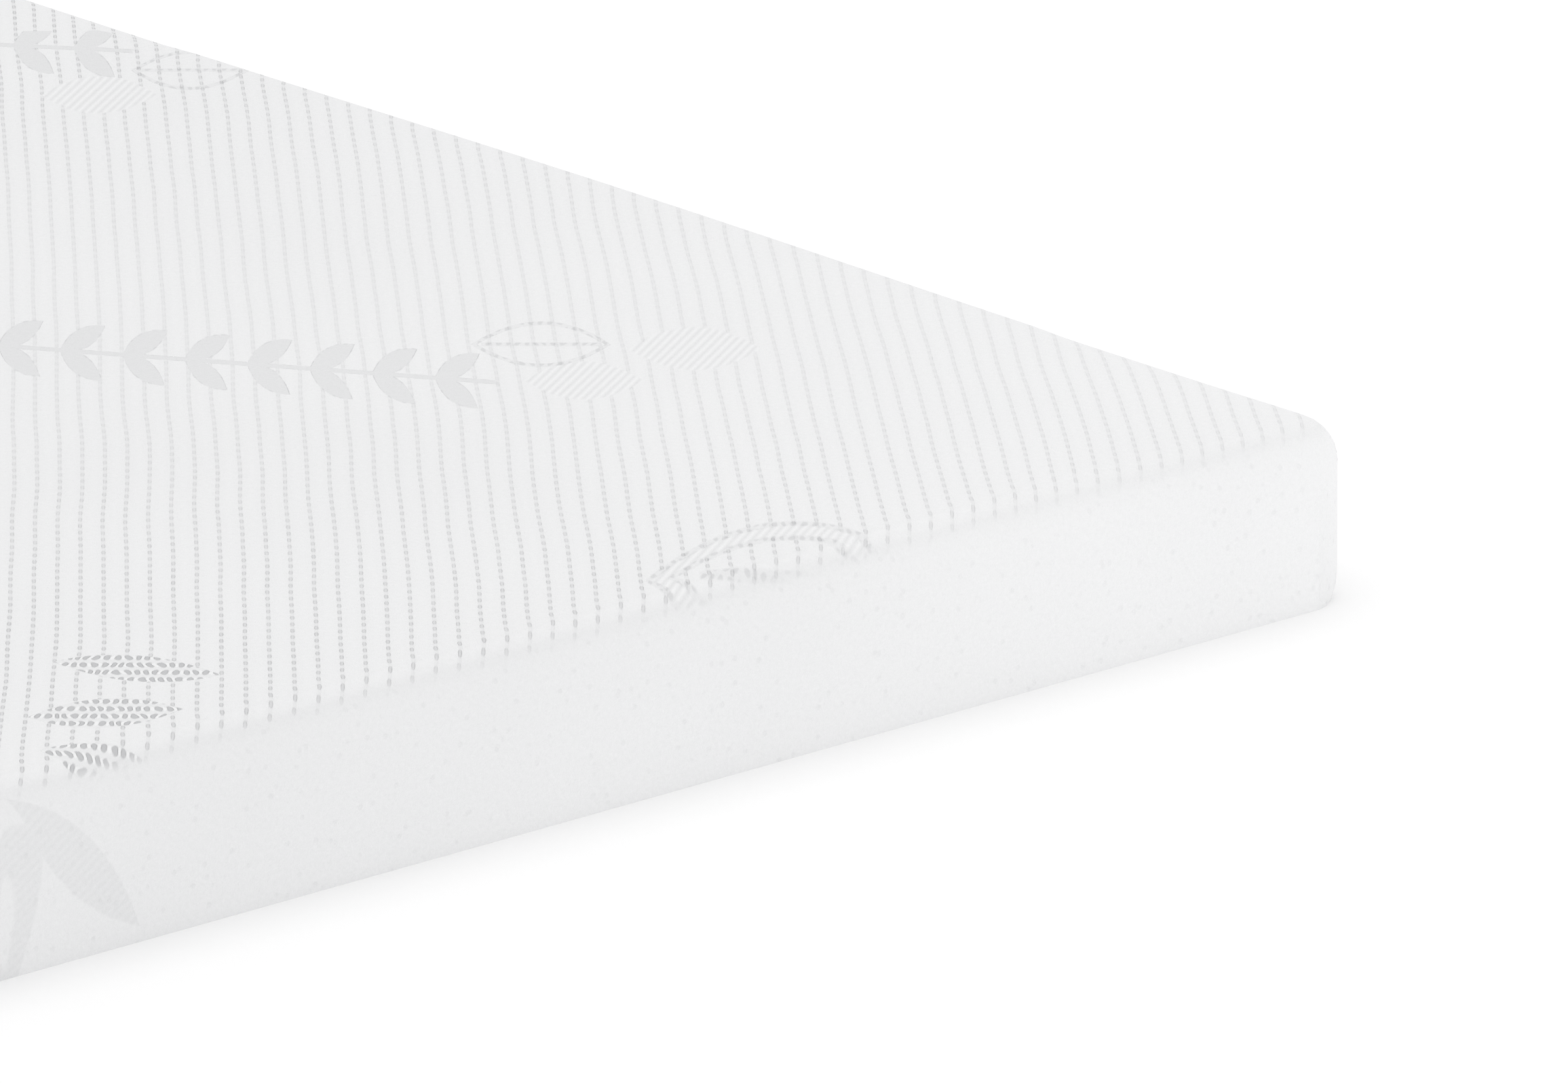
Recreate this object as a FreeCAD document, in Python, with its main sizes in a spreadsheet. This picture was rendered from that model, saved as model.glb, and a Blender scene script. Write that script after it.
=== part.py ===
import FreeCAD, Part
import os
import Sketcher
from FreeCAD import Placement, Rotation, Vector

# Thin single memory foam mattress in a zipped knitted cover, in millimetres.
# The origin is on the floor under the middle of the mattress: +X runs along its length,
# +Y points to the long side that holds the zip, and +Z is up.

# Driving dimensions: alias, value, meaning.
SIZES = [
    ("cover_length", 1900, "outside length of the closed cover"),
    ("cover_width", 900, "outside width of the closed cover"),
    ("cover_height", 80, "outside height of the closed cover"),
    ("corner_radius", 24, "rounding of the four corners in plan"),
    ("top_radius", 18, "rounding of the upper edge"),
    ("bottom_radius", 5, "rounding of the lower edge"),
    ("cloth_thickness", 3, "double-knit cloth of the shell and the base panel"),
    ("lip_width", 5, "flat stretch of the shell turned in underneath"),
    ("seam_width", 1.2, "overlock thread between the shell's lip and the base panel"),
    ("seam_lift", 0.4, "underside of that thread above the floor"),
    ("core_side_gap", 2.5, "room behind the zip for the slider's inner plate, same all round"),
    ("core_end_gap", 0.3, "room above and below the lined core"),
    ("liner_thickness", 1, "stretch liner around the foam"),
    ("liner_thread", 0.6, "closing thread on the liner's end"),
    ("foam_gap", 0.3, "room between the liner and the foam at the sides and the top"),
    ("memory_height", 30, "upper layer, slow-recovery foam"),
    ("liner_corner_radius", 18, "liner corners in plan"),
    ("liner_top_radius", 13, "liner upper edge"),
    ("liner_bottom_radius", 5, "liner lower edge"),
    ("zip_height", 36, "middle of the zip above the floor"),
    ("chain_length", 1600, "rows of teeth between the stops"),
    ("slot_height", 14, "opening in the cloth around the zip"),
    ("slot_margin", 12, "slot beyond each end of the teeth"),
    ("slot_radius", 3, "rounded corners of the slot"),
    ("tape_width", 15, "one woven zip tape"),
    ("tape_thickness", 0.8, "one woven zip tape"),
    ("tape_overrun", 8, "tape beyond each end of the slot"),
    ("tape_edge", 0.9, "tape edge from the middle of the zip"),
    ("teeth_inner", 0.7, "inner face of a row of teeth from the middle of the zip"),
    ("teeth_outer", 3, "outer face of a row of teeth from the middle of the zip"),
    ("teeth_depth", 2.4, "teeth in front of the tape"),
    ("stop_length", 3, "metal stops along the zip"),
    ("stop_depth", 2.6, "metal stops in front of the tape"),
    ("stitch_inset", 3.5, "top-stitching from the edge of the slot"),
    ("thread_size", 0.5, "sewing thread where it lies on the cloth"),
    ("bartack_length", 2.4, "dense bar of stitches across each end of the slot"),
    ("slider_length", 12, "slider along the zip"),
    ("slider_mouth", 9.8, "slider across its wide end"),
    ("slider_tail", 8.8, "slider across its narrow end"),
    ("slider_plate", 1, "each plate of the slider"),
    ("slider_clearance", 0.3, "slider plates from the tape and the teeth"),
    ("slider_rest_gap", 0.5, "closed slider short of the top stops"),
    ("slider_rim", 1, "rim along each side of the outer plate"),
    ("post_length", 3.5, "post that joins the two plates"),
    ("post_width", 0.8, "post that joins the two plates"),
    ("bridge_length", 7.2, "bridge that holds the puller"),
    ("bridge_width", 1.8, "bridge across the zip"),
    ("bridge_window_length", 5, "opening under the bridge"),
    ("bridge_window_height", 2.6, "opening under the bridge"),
    ("bridge_bar", 1, "bar over that opening"),
    ("puller_axis_height", 1.3, "hinge line above the outer plate"),
    ("puller_length", 26, "puller from its hinge line to its free end"),
    ("puller_width", 7.2, "puller across"),
    ("puller_thickness", 1.2, "puller sheet"),
    ("puller_bar_radius", 0.7, "round cross bar in the bridge, on the hinge line"),
    ("puller_end_radius", 2.9, "rounded free end of the puller"),
    ("puller_window_length", 4.5, "window that the bridge passes through"),
    ("puller_window_width", 3.2, "window that the bridge passes through"),
    ("puller_grip_length", 9, "grip hole near the free end"),
    ("puller_grip_width", 2.6, "grip hole near the free end"),
    ("puller_grip_inset", 3.5, "grip hole from the free end"),
    ("puller_grip_radius", 1.2, "rounded ends of the grip hole"),
    ("label_length", 46, "blank sewn label along the side"),
    ("label_height", 26, "blank sewn label up the side"),
    ("label_thickness", 0.4, "satin tape of the label"),
    ("label_middle", 868, "middle of the label from the middle of the mattress"),
    ("label_seam_inset", 2, "label stitching from its short edges"),
]

# Lengths that several sub-parts share, as expressions on the sheet.
LINER_LENGTH = "(Sizes.cover_length - 2 * Sizes.cloth_thickness - 2 * Sizes.core_side_gap)"
LINER_WIDTH = "(Sizes.cover_width - 2 * Sizes.cloth_thickness - 2 * Sizes.core_side_gap)"
LINER_HEIGHT = "(Sizes.cover_height - 2 * Sizes.cloth_thickness - 2 * Sizes.core_end_gap)"
LINER_BOTTOM = "(Sizes.cloth_thickness + Sizes.core_end_gap)"
FOAM_INSET = "(Sizes.liner_thickness + Sizes.foam_gap)"
FOAM_LENGTH = f"({LINER_LENGTH} - 2 * {FOAM_INSET})"
FOAM_WIDTH = f"({LINER_WIDTH} - 2 * {FOAM_INSET})"
FOAM_HEIGHT = f"({LINER_HEIGHT} - 2 * Sizes.liner_thickness - Sizes.foam_gap)"
FOAM_BOTTOM = f"({LINER_BOTTOM} + Sizes.liner_thickness)"
SUPPORT_HEIGHT = f"({FOAM_HEIGHT} - Sizes.memory_height)"
LIP_INSET = "(Sizes.bottom_radius + Sizes.lip_width)"
BASE_INSET = f"({LIP_INSET} + Sizes.seam_width)"
BACK_FACE = "(Sizes.cover_width / 2)"
TAPE_FACE = "(Sizes.cover_width / 2 - Sizes.cloth_thickness)"
SLOT_LENGTH = "(Sizes.chain_length + 2 * Sizes.slot_margin)"
STITCH_OFFSET = "(Sizes.slot_height / 2 + Sizes.stitch_inset)"
SLIDER_REST = "(Sizes.chain_length / 2 - Sizes.slider_rest_gap - Sizes.slider_length / 2)"
OUTER_PLATE = "(Sizes.teeth_depth + Sizes.slider_clearance)"
OUTER_FACE = f"({OUTER_PLATE} + Sizes.slider_plate)"
INNER_FACE = "(Sizes.tape_thickness + Sizes.slider_clearance + Sizes.slider_plate)"

# A piece drawn flat and then stood against the back wall: its own +Z becomes +Y, outwards.
FACING_BACK = Rotation(Vector(1, 0, 0), -90)

doc = FreeCAD.newDocument("memory_foam_mattress")
parts = []


def fill_sheet():
    """Puts every driving dimension in a cell with an alias, and its meaning beside it."""
    sheet = doc.addObject("Spreadsheet::Sheet", "Sizes")
    for row, (alias, value, meaning) in enumerate(SIZES, start=1):
        sheet.set(f"A{row}", meaning)
        sheet.set(f"B{row}", str(value))
        sheet.setAlias(f"B{row}", alias)
    doc.recompute()


def bind(item, **expressions):
    """Binds properties to sheet expressions; a double underscore in a name stands for a dot."""
    for name, expression in expressions.items():
        item.setExpression(name.replace("__", "."), expression)


def keep(item, label):
    """Names a finished sub-part, which is then written to its own file."""
    item.Label = label
    parts.append(item)
    return item


def new_body(name, rotation=Rotation(), **place):
    body = doc.addObject("PartDesign::Body", name)
    body.Placement = Placement(Vector(), rotation)
    bind(body, **{f"Placement__Base__{axis}": value for axis, value in place.items()})
    return body


def new_sketch(body, name, plane="XY_Plane", lift=None):
    """A sketch on one of the body's own origin planes, lifted along that plane's normal."""
    sketch = body.newObject("Sketcher::SketchObject", name)
    origin = next(item for item in body.Origin.OriginFeatures if item.Role == plane)
    sketch.AttachmentSupport = [(origin, "")]
    sketch.MapMode = "FlatFace"
    if lift:
        bind(sketch, AttachmentOffset__Base__z=lift)
    return sketch


def draw_outline(sketch, corners, symmetric=False):
    """A closed outline through corner points, each given as a pair of sheet expressions."""
    count = len(corners)
    rough = [Vector(10 * index, (index * index) % 7, 0) for index in range(count)]
    for index in range(count):
        sketch.addGeometry(Part.LineSegment(rough[index], rough[(index + 1) % count]), False)
    for index in range(count):
        sketch.addConstraint(Sketcher.Constraint("Coincident", index, 2, (index + 1) % count, 1))
    for index, corner in enumerate(corners):
        for axis, kind in ((0, "DistanceX"), (1, "DistanceY")):
            value = FreeCAD.Units.Quantity(sketch.evalExpression(corner[axis])).Value
            name = f"corner_{index}_{kind[-1].lower()}"
            row = sketch.addConstraint(Sketcher.Constraint(kind, -1, 1, index, 1, value))
            sketch.renameConstraint(row, name)
            sketch.setExpression(f"Constraints.{name}", corner[axis])
    return sketch


def draw_box(sketch, x_low, x_high, y_low, y_high):
    return draw_outline(sketch, [(x_low, y_low), (x_high, y_low), (x_high, y_high), (x_low, y_high)])


def draw_centred(sketch, length, width):
    half_x = f"{length} / 2"
    half_y = f"{width} / 2"
    return draw_box(sketch, f"-{half_x}", half_x, f"-{half_y}", half_y)


def draw_circle(sketch, radius):
    """A circle around the sketch's origin."""
    size = FreeCAD.Units.Quantity(sketch.evalExpression(radius)).Value
    sketch.addGeometry(Part.Circle(Vector(), Vector(0, 0, 1), size), False)
    sketch.addConstraint(Sketcher.Constraint("Coincident", 0, 3, -1, 1))
    row = sketch.addConstraint(Sketcher.Constraint("Radius", 0, size))
    sketch.renameConstraint(row, "radius")
    sketch.setExpression("Constraints.radius", radius)
    return sketch


def pad(body, name, sketch, length, midplane=False):
    feature = body.newObject("PartDesign::Pad", name)
    feature.Profile = sketch
    feature.Midplane = midplane
    bind(feature, Length=length)
    doc.recompute()
    return feature


def cut(body, name, sketch, depth, reverse=False):
    """A pocket into the solid; it stops the run when it takes nothing away."""
    before = body.Shape.Volume
    feature = body.newObject("PartDesign::Pocket", name)
    feature.Profile = sketch
    feature.Reversed = reverse
    bind(feature, Length=depth)
    doc.recompute()
    if body.Shape.Volume >= before:
        raise RuntimeError(f"{name} cuts nothing")
    return feature


def round_edges(body, name, chosen, radius):
    """Rounds the edges of the body's tip for which chosen(bounding box) is true."""
    tip = body.Tip
    names = [f"Edge{n}" for n, edge in enumerate(tip.Shape.Edges, start=1) if chosen(edge.BoundBox)]
    if not names:
        raise RuntimeError(f"{name} finds no edges")
    feature = body.newObject("PartDesign::Fillet", name)
    feature.Base = (tip, names)
    bind(feature, Radius=radius)
    doc.recompute()
    return feature


def is_upright(box):
    return box.ZLength > 0.1 and box.XLength < 0.01 and box.YLength < 0.01


def at_height(height):
    return lambda box: abs(box.ZMin - height) < 0.01 and abs(box.ZMax - height) < 0.01


def rounded_block(body, length, width, height, corner, top=None, bottom=None):
    """A block standing on the body's XY plane with rounded corners and, where given, rounded rims."""
    sketch = draw_centred(new_sketch(body, body.Name + "_outline"), length, width)
    pad(body, body.Name + "_block", sketch, height)
    round_edges(body, body.Name + "_corners", is_upright, corner)
    if top:
        upper = body.Tip.Shape.BoundBox.ZMax
        round_edges(body, body.Name + "_upper_rim", at_height(upper), top)
    if bottom:
        lower = body.Tip.Shape.BoundBox.ZMin
        round_edges(body, body.Name + "_lower_rim", at_height(lower), bottom)
    return body


def plain_strip(name, label, length, width, height, x, y, z):
    """A straight strip; x is its middle, and y and z are its lowest corner."""
    strip = doc.addObject("Part::Box", name)
    bind(strip, Length=length, Width=width, Height=height)
    bind(strip, Placement__Base__x=f"{x} - {length} / 2", Placement__Base__y=y, Placement__Base__z=z)
    return keep(strip, label) if label else strip


def hollow(name, label, outside, inside):
    """What is left of one block once a smaller block is taken out of it."""
    result = doc.addObject("Part::Cut", name)
    result.Base = outside
    result.Tool = inside
    return keep(result, label) if label else result


def group(name, label, members):
    """Separate solids that share one node."""
    compound = doc.addObject("Part::Compound", name)
    compound.Links = members
    return keep(compound, label)


def make_cover_shell():
    """Top and sides in one piece of cloth, open underneath, with a slot for the zip."""
    outside = rounded_block(
        new_body("CoverOutside"),
        "Sizes.cover_length",
        "Sizes.cover_width",
        "Sizes.cover_height",
        "Sizes.corner_radius",
        top="Sizes.top_radius",
        bottom="Sizes.bottom_radius",
    )
    inside = rounded_block(
        new_body("CoverInside", z="Sizes.cloth_thickness"),
        "(Sizes.cover_length - 2 * Sizes.cloth_thickness)",
        "(Sizes.cover_width - 2 * Sizes.cloth_thickness)",
        "(Sizes.cover_height - 2 * Sizes.cloth_thickness)",
        "Sizes.corner_radius - Sizes.cloth_thickness",
        top="Sizes.top_radius - Sizes.cloth_thickness",
        bottom="Sizes.bottom_radius - Sizes.cloth_thickness",
    )
    opening = rounded_block(
        new_body("CoverOpening", z="-Sizes.cloth_thickness"),
        f"(Sizes.cover_length - 2 * {LIP_INSET})",
        f"(Sizes.cover_width - 2 * {LIP_INSET})",
        "3 * Sizes.cloth_thickness",
        f"Sizes.corner_radius - {LIP_INSET}",
    )
    slot = rounded_block(
        new_body("ZipSlot", FACING_BACK, y=f"{TAPE_FACE} - Sizes.cloth_thickness", z="Sizes.zip_height"),
        SLOT_LENGTH,
        "Sizes.slot_height",
        "3 * Sizes.cloth_thickness",
        "Sizes.slot_radius",
    )
    bag = hollow("CoverBag", None, outside, inside)
    open_bag = hollow("CoverOpenBag", None, bag, opening)
    return hollow("CoverShell", "cover_shell", open_bag, slot)


def make_cover_base():
    """Flat panel that closes the cover underneath."""
    body = new_body("CoverBase")
    rounded_block(
        body,
        f"(Sizes.cover_length - 2 * {BASE_INSET})",
        f"(Sizes.cover_width - 2 * {BASE_INSET})",
        "Sizes.cloth_thickness",
        f"Sizes.corner_radius - {BASE_INSET}",
    )
    return keep(body, "cover_base")


def make_base_seam():
    """Overlock thread that joins the base panel to the shell's turned-in lip all the way round."""
    outside = rounded_block(
        new_body("SeamOutside", z="Sizes.seam_lift"),
        f"(Sizes.cover_length - 2 * {LIP_INSET})",
        f"(Sizes.cover_width - 2 * {LIP_INSET})",
        "Sizes.seam_width",
        f"Sizes.corner_radius - {LIP_INSET}",
    )
    inside = rounded_block(
        new_body("SeamInside", z="Sizes.seam_lift"),
        f"(Sizes.cover_length - 2 * {BASE_INSET})",
        f"(Sizes.cover_width - 2 * {BASE_INSET})",
        "Sizes.seam_width",
        f"Sizes.corner_radius - {BASE_INSET}",
    )
    return hollow("BaseSeam", "base_seam_thread", outside, inside)


def make_inner_liner():
    """Thin closed stretch sock around both foam layers."""
    outside = rounded_block(
        new_body("LinerOutside", z=LINER_BOTTOM),
        LINER_LENGTH,
        LINER_WIDTH,
        LINER_HEIGHT,
        "Sizes.liner_corner_radius",
        top="Sizes.liner_top_radius",
        bottom="Sizes.liner_bottom_radius",
    )
    inside = rounded_block(
        new_body("LinerInside", z=f"{LINER_BOTTOM} + Sizes.liner_thickness"),
        f"({LINER_LENGTH} - 2 * Sizes.liner_thickness)",
        f"({LINER_WIDTH} - 2 * Sizes.liner_thickness)",
        f"({LINER_HEIGHT} - 2 * Sizes.liner_thickness)",
        "Sizes.liner_corner_radius - Sizes.liner_thickness",
        top="Sizes.liner_top_radius - Sizes.liner_thickness",
        bottom="Sizes.liner_bottom_radius - Sizes.liner_thickness",
    )
    return hollow("InnerLiner", "inner_liner", outside, inside)


def make_liner_seam():
    """Chain-stitched thread that closes the liner across one end of the core."""
    straight = f"({LINER_WIDTH} - 2 * Sizes.liner_corner_radius)"
    return plain_strip(
        "LinerSeam",
        "liner_seam_thread",
        "Sizes.liner_thread",
        straight,
        "Sizes.liner_thread",
        f"-{LINER_LENGTH} / 2 - Sizes.liner_thread / 2",
        f"-{straight} / 2",
        f"{LINER_BOTTOM} + {LINER_HEIGHT} / 2",
    )


def make_foam_layers():
    """Slow-recovery foam on top of a firmer support foam, glued face to face."""
    support = rounded_block(
        new_body("SupportFoam", z=FOAM_BOTTOM),
        FOAM_LENGTH,
        FOAM_WIDTH,
        SUPPORT_HEIGHT,
        f"Sizes.liner_corner_radius - {FOAM_INSET}",
        bottom="Sizes.liner_bottom_radius - Sizes.liner_thickness",
    )
    memory = rounded_block(
        new_body("MemoryFoam", z=f"{FOAM_BOTTOM} + {SUPPORT_HEIGHT}"),
        FOAM_LENGTH,
        FOAM_WIDTH,
        "Sizes.memory_height",
        f"Sizes.liner_corner_radius - {FOAM_INSET}",
        top="Sizes.liner_top_radius - Sizes.liner_thickness",
    )
    keep(memory, "memory_foam_layer")
    keep(support, "support_foam_layer")


def make_zip_side(name, sign):
    """Tape, teeth and top-stitching on one side of the zip; sign is 1 above it and -1 below it."""
    middle = "Sizes.zip_height"

    def lowest(near, size):
        """The lower face of a strip that starts at near from the middle, measured away from it."""
        return f"{middle} + {near}" if sign > 0 else f"{middle} - {near} - {size}"

    plain_strip(
        f"ZipTape{name.title()}",
        f"zip_tape_{name}",
        f"({SLOT_LENGTH} + 2 * Sizes.tape_overrun)",
        "Sizes.tape_thickness",
        "Sizes.tape_width",
        "0",
        f"{TAPE_FACE} - Sizes.tape_thickness",
        lowest("Sizes.tape_edge", "Sizes.tape_width"),
    )
    row_height = "(Sizes.teeth_outer - Sizes.teeth_inner)"
    plain_strip(
        f"ZipTeeth{name.title()}",
        f"zip_teeth_{name}",
        "Sizes.chain_length",
        "Sizes.teeth_depth",
        row_height,
        "0",
        TAPE_FACE,
        lowest("Sizes.teeth_inner", row_height),
    )
    plain_strip(
        f"ZipStitch{name.title()}",
        f"zip_stitch_{name}",
        SLOT_LENGTH,
        "Sizes.thread_size",
        "Sizes.thread_size",
        "0",
        BACK_FACE,
        lowest(STITCH_OFFSET, "Sizes.thread_size"),
    )


def make_zip_stops():
    """Two small clamps at the closing end, and one block across both rows at the other end."""
    stop_middle = "(Sizes.chain_length / 2 + Sizes.stop_length / 2)"
    clamp_height = "(Sizes.teeth_outer - Sizes.tape_edge)"
    clamps = [
        plain_strip(
            f"TopStop{name}",
            None,
            "Sizes.stop_length",
            "Sizes.stop_depth",
            clamp_height,
            stop_middle,
            TAPE_FACE,
            lower_face,
        )
        for name, lower_face in (
            ("Upper", "Sizes.zip_height + Sizes.tape_edge"),
            ("Lower", "Sizes.zip_height - Sizes.teeth_outer"),
        )
    ]
    group("TopStops", "zip_top_stops", clamps)
    plain_strip(
        "BottomStop",
        "zip_bottom_stop",
        "Sizes.stop_length",
        "Sizes.stop_depth",
        "2 * Sizes.teeth_outer",
        f"-{stop_middle}",
        TAPE_FACE,
        "Sizes.zip_height - Sizes.teeth_outer",
    )


def make_zip_bartacks():
    """Dense bar of thread across each end of the slot."""
    bars = [
        plain_strip(
            f"Bartack{name}",
            None,
            "Sizes.bartack_length",
            "Sizes.thread_size",
            "Sizes.slot_height",
            f"{sign} * ({SLOT_LENGTH} / 2 + Sizes.bartack_length)",
            BACK_FACE,
            "Sizes.zip_height - Sizes.slot_height / 2",
        )
        for name, sign in (("Closing", 1), ("Opening", -1))
    ]
    group("ZipBartacks", "zip_bartacks", bars)


def draw_plate(sketch):
    """Plan of a slider plate: wide at the mouth, tapering to the tail."""
    half_length = "Sizes.slider_length / 2"
    mouth = "Sizes.slider_mouth / 2"
    tail = "Sizes.slider_tail / 2"
    corners = [
        (f"-{half_length}", f"-{tail}"),
        ("0", f"-{mouth}"),
        (half_length, f"-{mouth}"),
        (half_length, mouth),
        ("0", mouth),
        (f"-{half_length}", tail),
    ]
    return draw_outline(sketch, corners)


def make_zip_slider():
    """Two plates on a post with the zip between them, and a bridge outside that holds the puller."""
    body = new_body("ZipSlider", FACING_BACK, x=SLIDER_REST, y=TAPE_FACE, z="Sizes.zip_height")
    inner = draw_plate(new_sketch(body, "ZipSlider_inner_outline", lift=f"-{INNER_FACE}"))
    pad(body, "ZipSlider_inner_plate", inner, "Sizes.slider_plate")
    outer = draw_plate(new_sketch(body, "ZipSlider_outer_outline", lift="Sizes.slider_clearance"))
    pad(body, "ZipSlider_outer_block", outer, f"{OUTER_FACE} - Sizes.slider_clearance")
    channel = new_sketch(body, "ZipSlider_channel_outline", "YZ_Plane", lift="-Sizes.slider_length / 2")
    half_channel = "(Sizes.slider_tail / 2 - Sizes.slider_rim)"
    draw_box(channel, f"-{half_channel}", half_channel, "Sizes.slider_clearance", OUTER_PLATE)
    cut(body, "ZipSlider_channel", channel, "Sizes.slider_length", reverse=True)
    post = new_sketch(body, "ZipSlider_post_outline", lift=f"-{INNER_FACE}")
    half_post = "Sizes.post_width / 2"
    post_start = "Sizes.slider_length / 2 - Sizes.post_length"
    draw_box(post, post_start, "Sizes.slider_length / 2", f"-{half_post}", half_post)
    pad(body, "ZipSlider_post", post, f"{INNER_FACE} + {OUTER_FACE}")
    bridge = new_sketch(body, "ZipSlider_bridge_outline", "XZ_Plane")
    foot = f"({OUTER_FACE} - Sizes.slider_plate / 2)"
    window_top = f"({OUTER_FACE} + Sizes.bridge_window_height)"
    bar_top = f"({window_top} + Sizes.bridge_bar)"
    far = "Sizes.bridge_length / 2"
    near = "Sizes.bridge_window_length / 2"
    corners = [
        (f"-{far}", foot),
        (f"-{near}", foot),
        (f"-{near}", window_top),
        (near, window_top),
        (near, foot),
        (far, foot),
        (far, bar_top),
        (f"-{far}", bar_top),
    ]
    draw_outline(bridge, corners)
    pad(body, "ZipSlider_bridge", bridge, "Sizes.bridge_width", midplane=True)
    return keep(body, "zip_slider")


def make_zip_puller():
    """Flat tab that turns on its cross bar under the slider's bridge; it lies along the closed zip."""
    body = new_body(
        "ZipPuller",
        FACING_BACK,
        x=SLIDER_REST,
        y=f"{TAPE_FACE} + {OUTER_FACE} + Sizes.puller_axis_height",
        z="Sizes.zip_height",
    )
    half_sheet = "-Sizes.puller_thickness / 2"
    half_width = "Sizes.puller_width / 2"
    tab = new_sketch(body, "ZipPuller_tab_outline", lift=half_sheet)
    draw_box(tab, "-Sizes.puller_length", "0", f"-{half_width}", half_width)
    pad(body, "ZipPuller_tab", tab, "Sizes.puller_thickness")
    free_end = -float(doc.Sizes.puller_length)
    round_edges(
        body,
        "ZipPuller_free_end",
        lambda box: is_upright(box) and abs(box.XMin - free_end) < 0.01,
        "Sizes.puller_end_radius",
    )
    window = new_sketch(body, "ZipPuller_window_outline", lift=half_sheet)
    half_window = "Sizes.puller_window_width / 2"
    draw_box(
        window,
        "-Sizes.puller_bar_radius - Sizes.puller_window_length",
        "0",
        f"-{half_window}",
        half_window,
    )
    cut(body, "ZipPuller_window", window, "Sizes.puller_thickness", reverse=True)
    bar = new_sketch(body, "ZipPuller_bar_outline", "XZ_Plane")
    draw_circle(bar, "Sizes.puller_bar_radius")
    pad(body, "ZipPuller_bar", bar, "Sizes.puller_width", midplane=True)
    grip = new_sketch(body, "ZipPuller_grip_outline", lift=half_sheet)
    half_grip = "Sizes.puller_grip_width / 2"
    draw_box(
        grip,
        "-Sizes.puller_length + Sizes.puller_grip_inset",
        "-Sizes.puller_length + Sizes.puller_grip_inset + Sizes.puller_grip_length",
        f"-{half_grip}",
        half_grip,
    )
    cut(body, "ZipPuller_grip", grip, "Sizes.puller_thickness", reverse=True)
    grip_side = float(doc.Sizes.puller_grip_width) / 2
    grip_end = -float(doc.Sizes.puller_length - doc.Sizes.puller_grip_inset - doc.Sizes.puller_grip_length)
    round_edges(
        body,
        "ZipPuller_grip_ends",
        lambda box: is_upright(box) and abs(abs(box.YMin) - grip_side) < 0.01 and box.XMax < grip_end + 0.01,
        "Sizes.puller_grip_radius",
    )
    return keep(body, "zip_puller")


def make_care_label():
    """Blank satin label sewn flat on the side beside the opening end of the zip."""
    lower_edge = "Sizes.zip_height - Sizes.label_height / 2"
    plain_strip(
        "CareLabel",
        "care_label",
        "Sizes.label_length",
        "Sizes.label_thickness",
        "Sizes.label_height",
        "-Sizes.label_middle",
        BACK_FACE,
        lower_edge,
    )
    seam_offset = "(Sizes.label_length / 2 - Sizes.label_seam_inset)"
    seams = [
        plain_strip(
            f"LabelSeam{name}",
            None,
            "Sizes.thread_size",
            "Sizes.thread_size",
            "Sizes.label_height",
            f"-Sizes.label_middle + {sign} * {seam_offset}",
            f"{BACK_FACE} + Sizes.label_thickness",
            lower_edge,
        )
        for name, sign in (("Near", 1), ("Far", -1))
    ]
    group("LabelThread", "care_label_thread", seams)


def check_document():
    """Stops before anything is written if an object failed or a sub-part isn't a valid shape."""
    for item in doc.Objects:
        if "Invalid" in item.State or "Error" in item.State:
            raise RuntimeError(f"{item.Name} failed: {item.State}")
    for item in parts:
        if item.Shape.isNull() or not item.Shape.isValid() or not item.Shape.Solids:
            raise RuntimeError(f"{item.Label} isn't a valid solid")


def write_parts():
    os.makedirs("parts", exist_ok=True)
    for item in parts:
        item.Shape.exportStep(f"parts/{item.Label}.step")
        box = item.Shape.BoundBox
        print(
            f"{item.Label:20s} solids {len(item.Shape.Solids)}  volume {item.Shape.Volume:14.2f}"
            f"  x {box.XMin:8.2f} {box.XMax:8.2f}  y {box.YMin:7.2f} {box.YMax:7.2f}"
            f"  z {box.ZMin:6.2f} {box.ZMax:6.2f}"
        )


fill_sheet()
make_cover_shell()
make_cover_base()
make_base_seam()
make_inner_liner()
make_liner_seam()
make_foam_layers()
for side, direction in (("upper", 1), ("lower", -1)):
    make_zip_side(side, direction)
make_zip_stops()
make_zip_bartacks()
make_zip_slider()
make_zip_puller()
make_care_label()
doc.recompute()
check_document()
write_parts()
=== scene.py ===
import math
import bmesh
import bpy
import numpy as np
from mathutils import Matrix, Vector


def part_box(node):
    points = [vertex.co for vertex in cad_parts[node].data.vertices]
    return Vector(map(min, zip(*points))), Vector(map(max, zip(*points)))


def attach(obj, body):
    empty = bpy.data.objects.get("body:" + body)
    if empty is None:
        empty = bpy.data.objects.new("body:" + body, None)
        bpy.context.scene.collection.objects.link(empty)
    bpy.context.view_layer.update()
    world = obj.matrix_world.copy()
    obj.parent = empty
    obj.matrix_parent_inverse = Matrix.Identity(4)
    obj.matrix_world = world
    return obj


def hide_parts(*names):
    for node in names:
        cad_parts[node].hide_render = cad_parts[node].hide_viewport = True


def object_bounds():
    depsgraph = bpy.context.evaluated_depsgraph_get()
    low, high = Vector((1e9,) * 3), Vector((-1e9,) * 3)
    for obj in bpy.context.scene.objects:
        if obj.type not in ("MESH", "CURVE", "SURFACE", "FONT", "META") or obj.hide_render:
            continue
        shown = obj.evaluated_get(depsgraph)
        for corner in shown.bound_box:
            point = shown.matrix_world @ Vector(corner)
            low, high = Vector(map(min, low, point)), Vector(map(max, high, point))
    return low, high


# Thin foam mattress in a zipped white knitted cover. Everything is in metres.
# +X runs along the mattress, +Y points to the long side with the zip, +Z is up.

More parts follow.
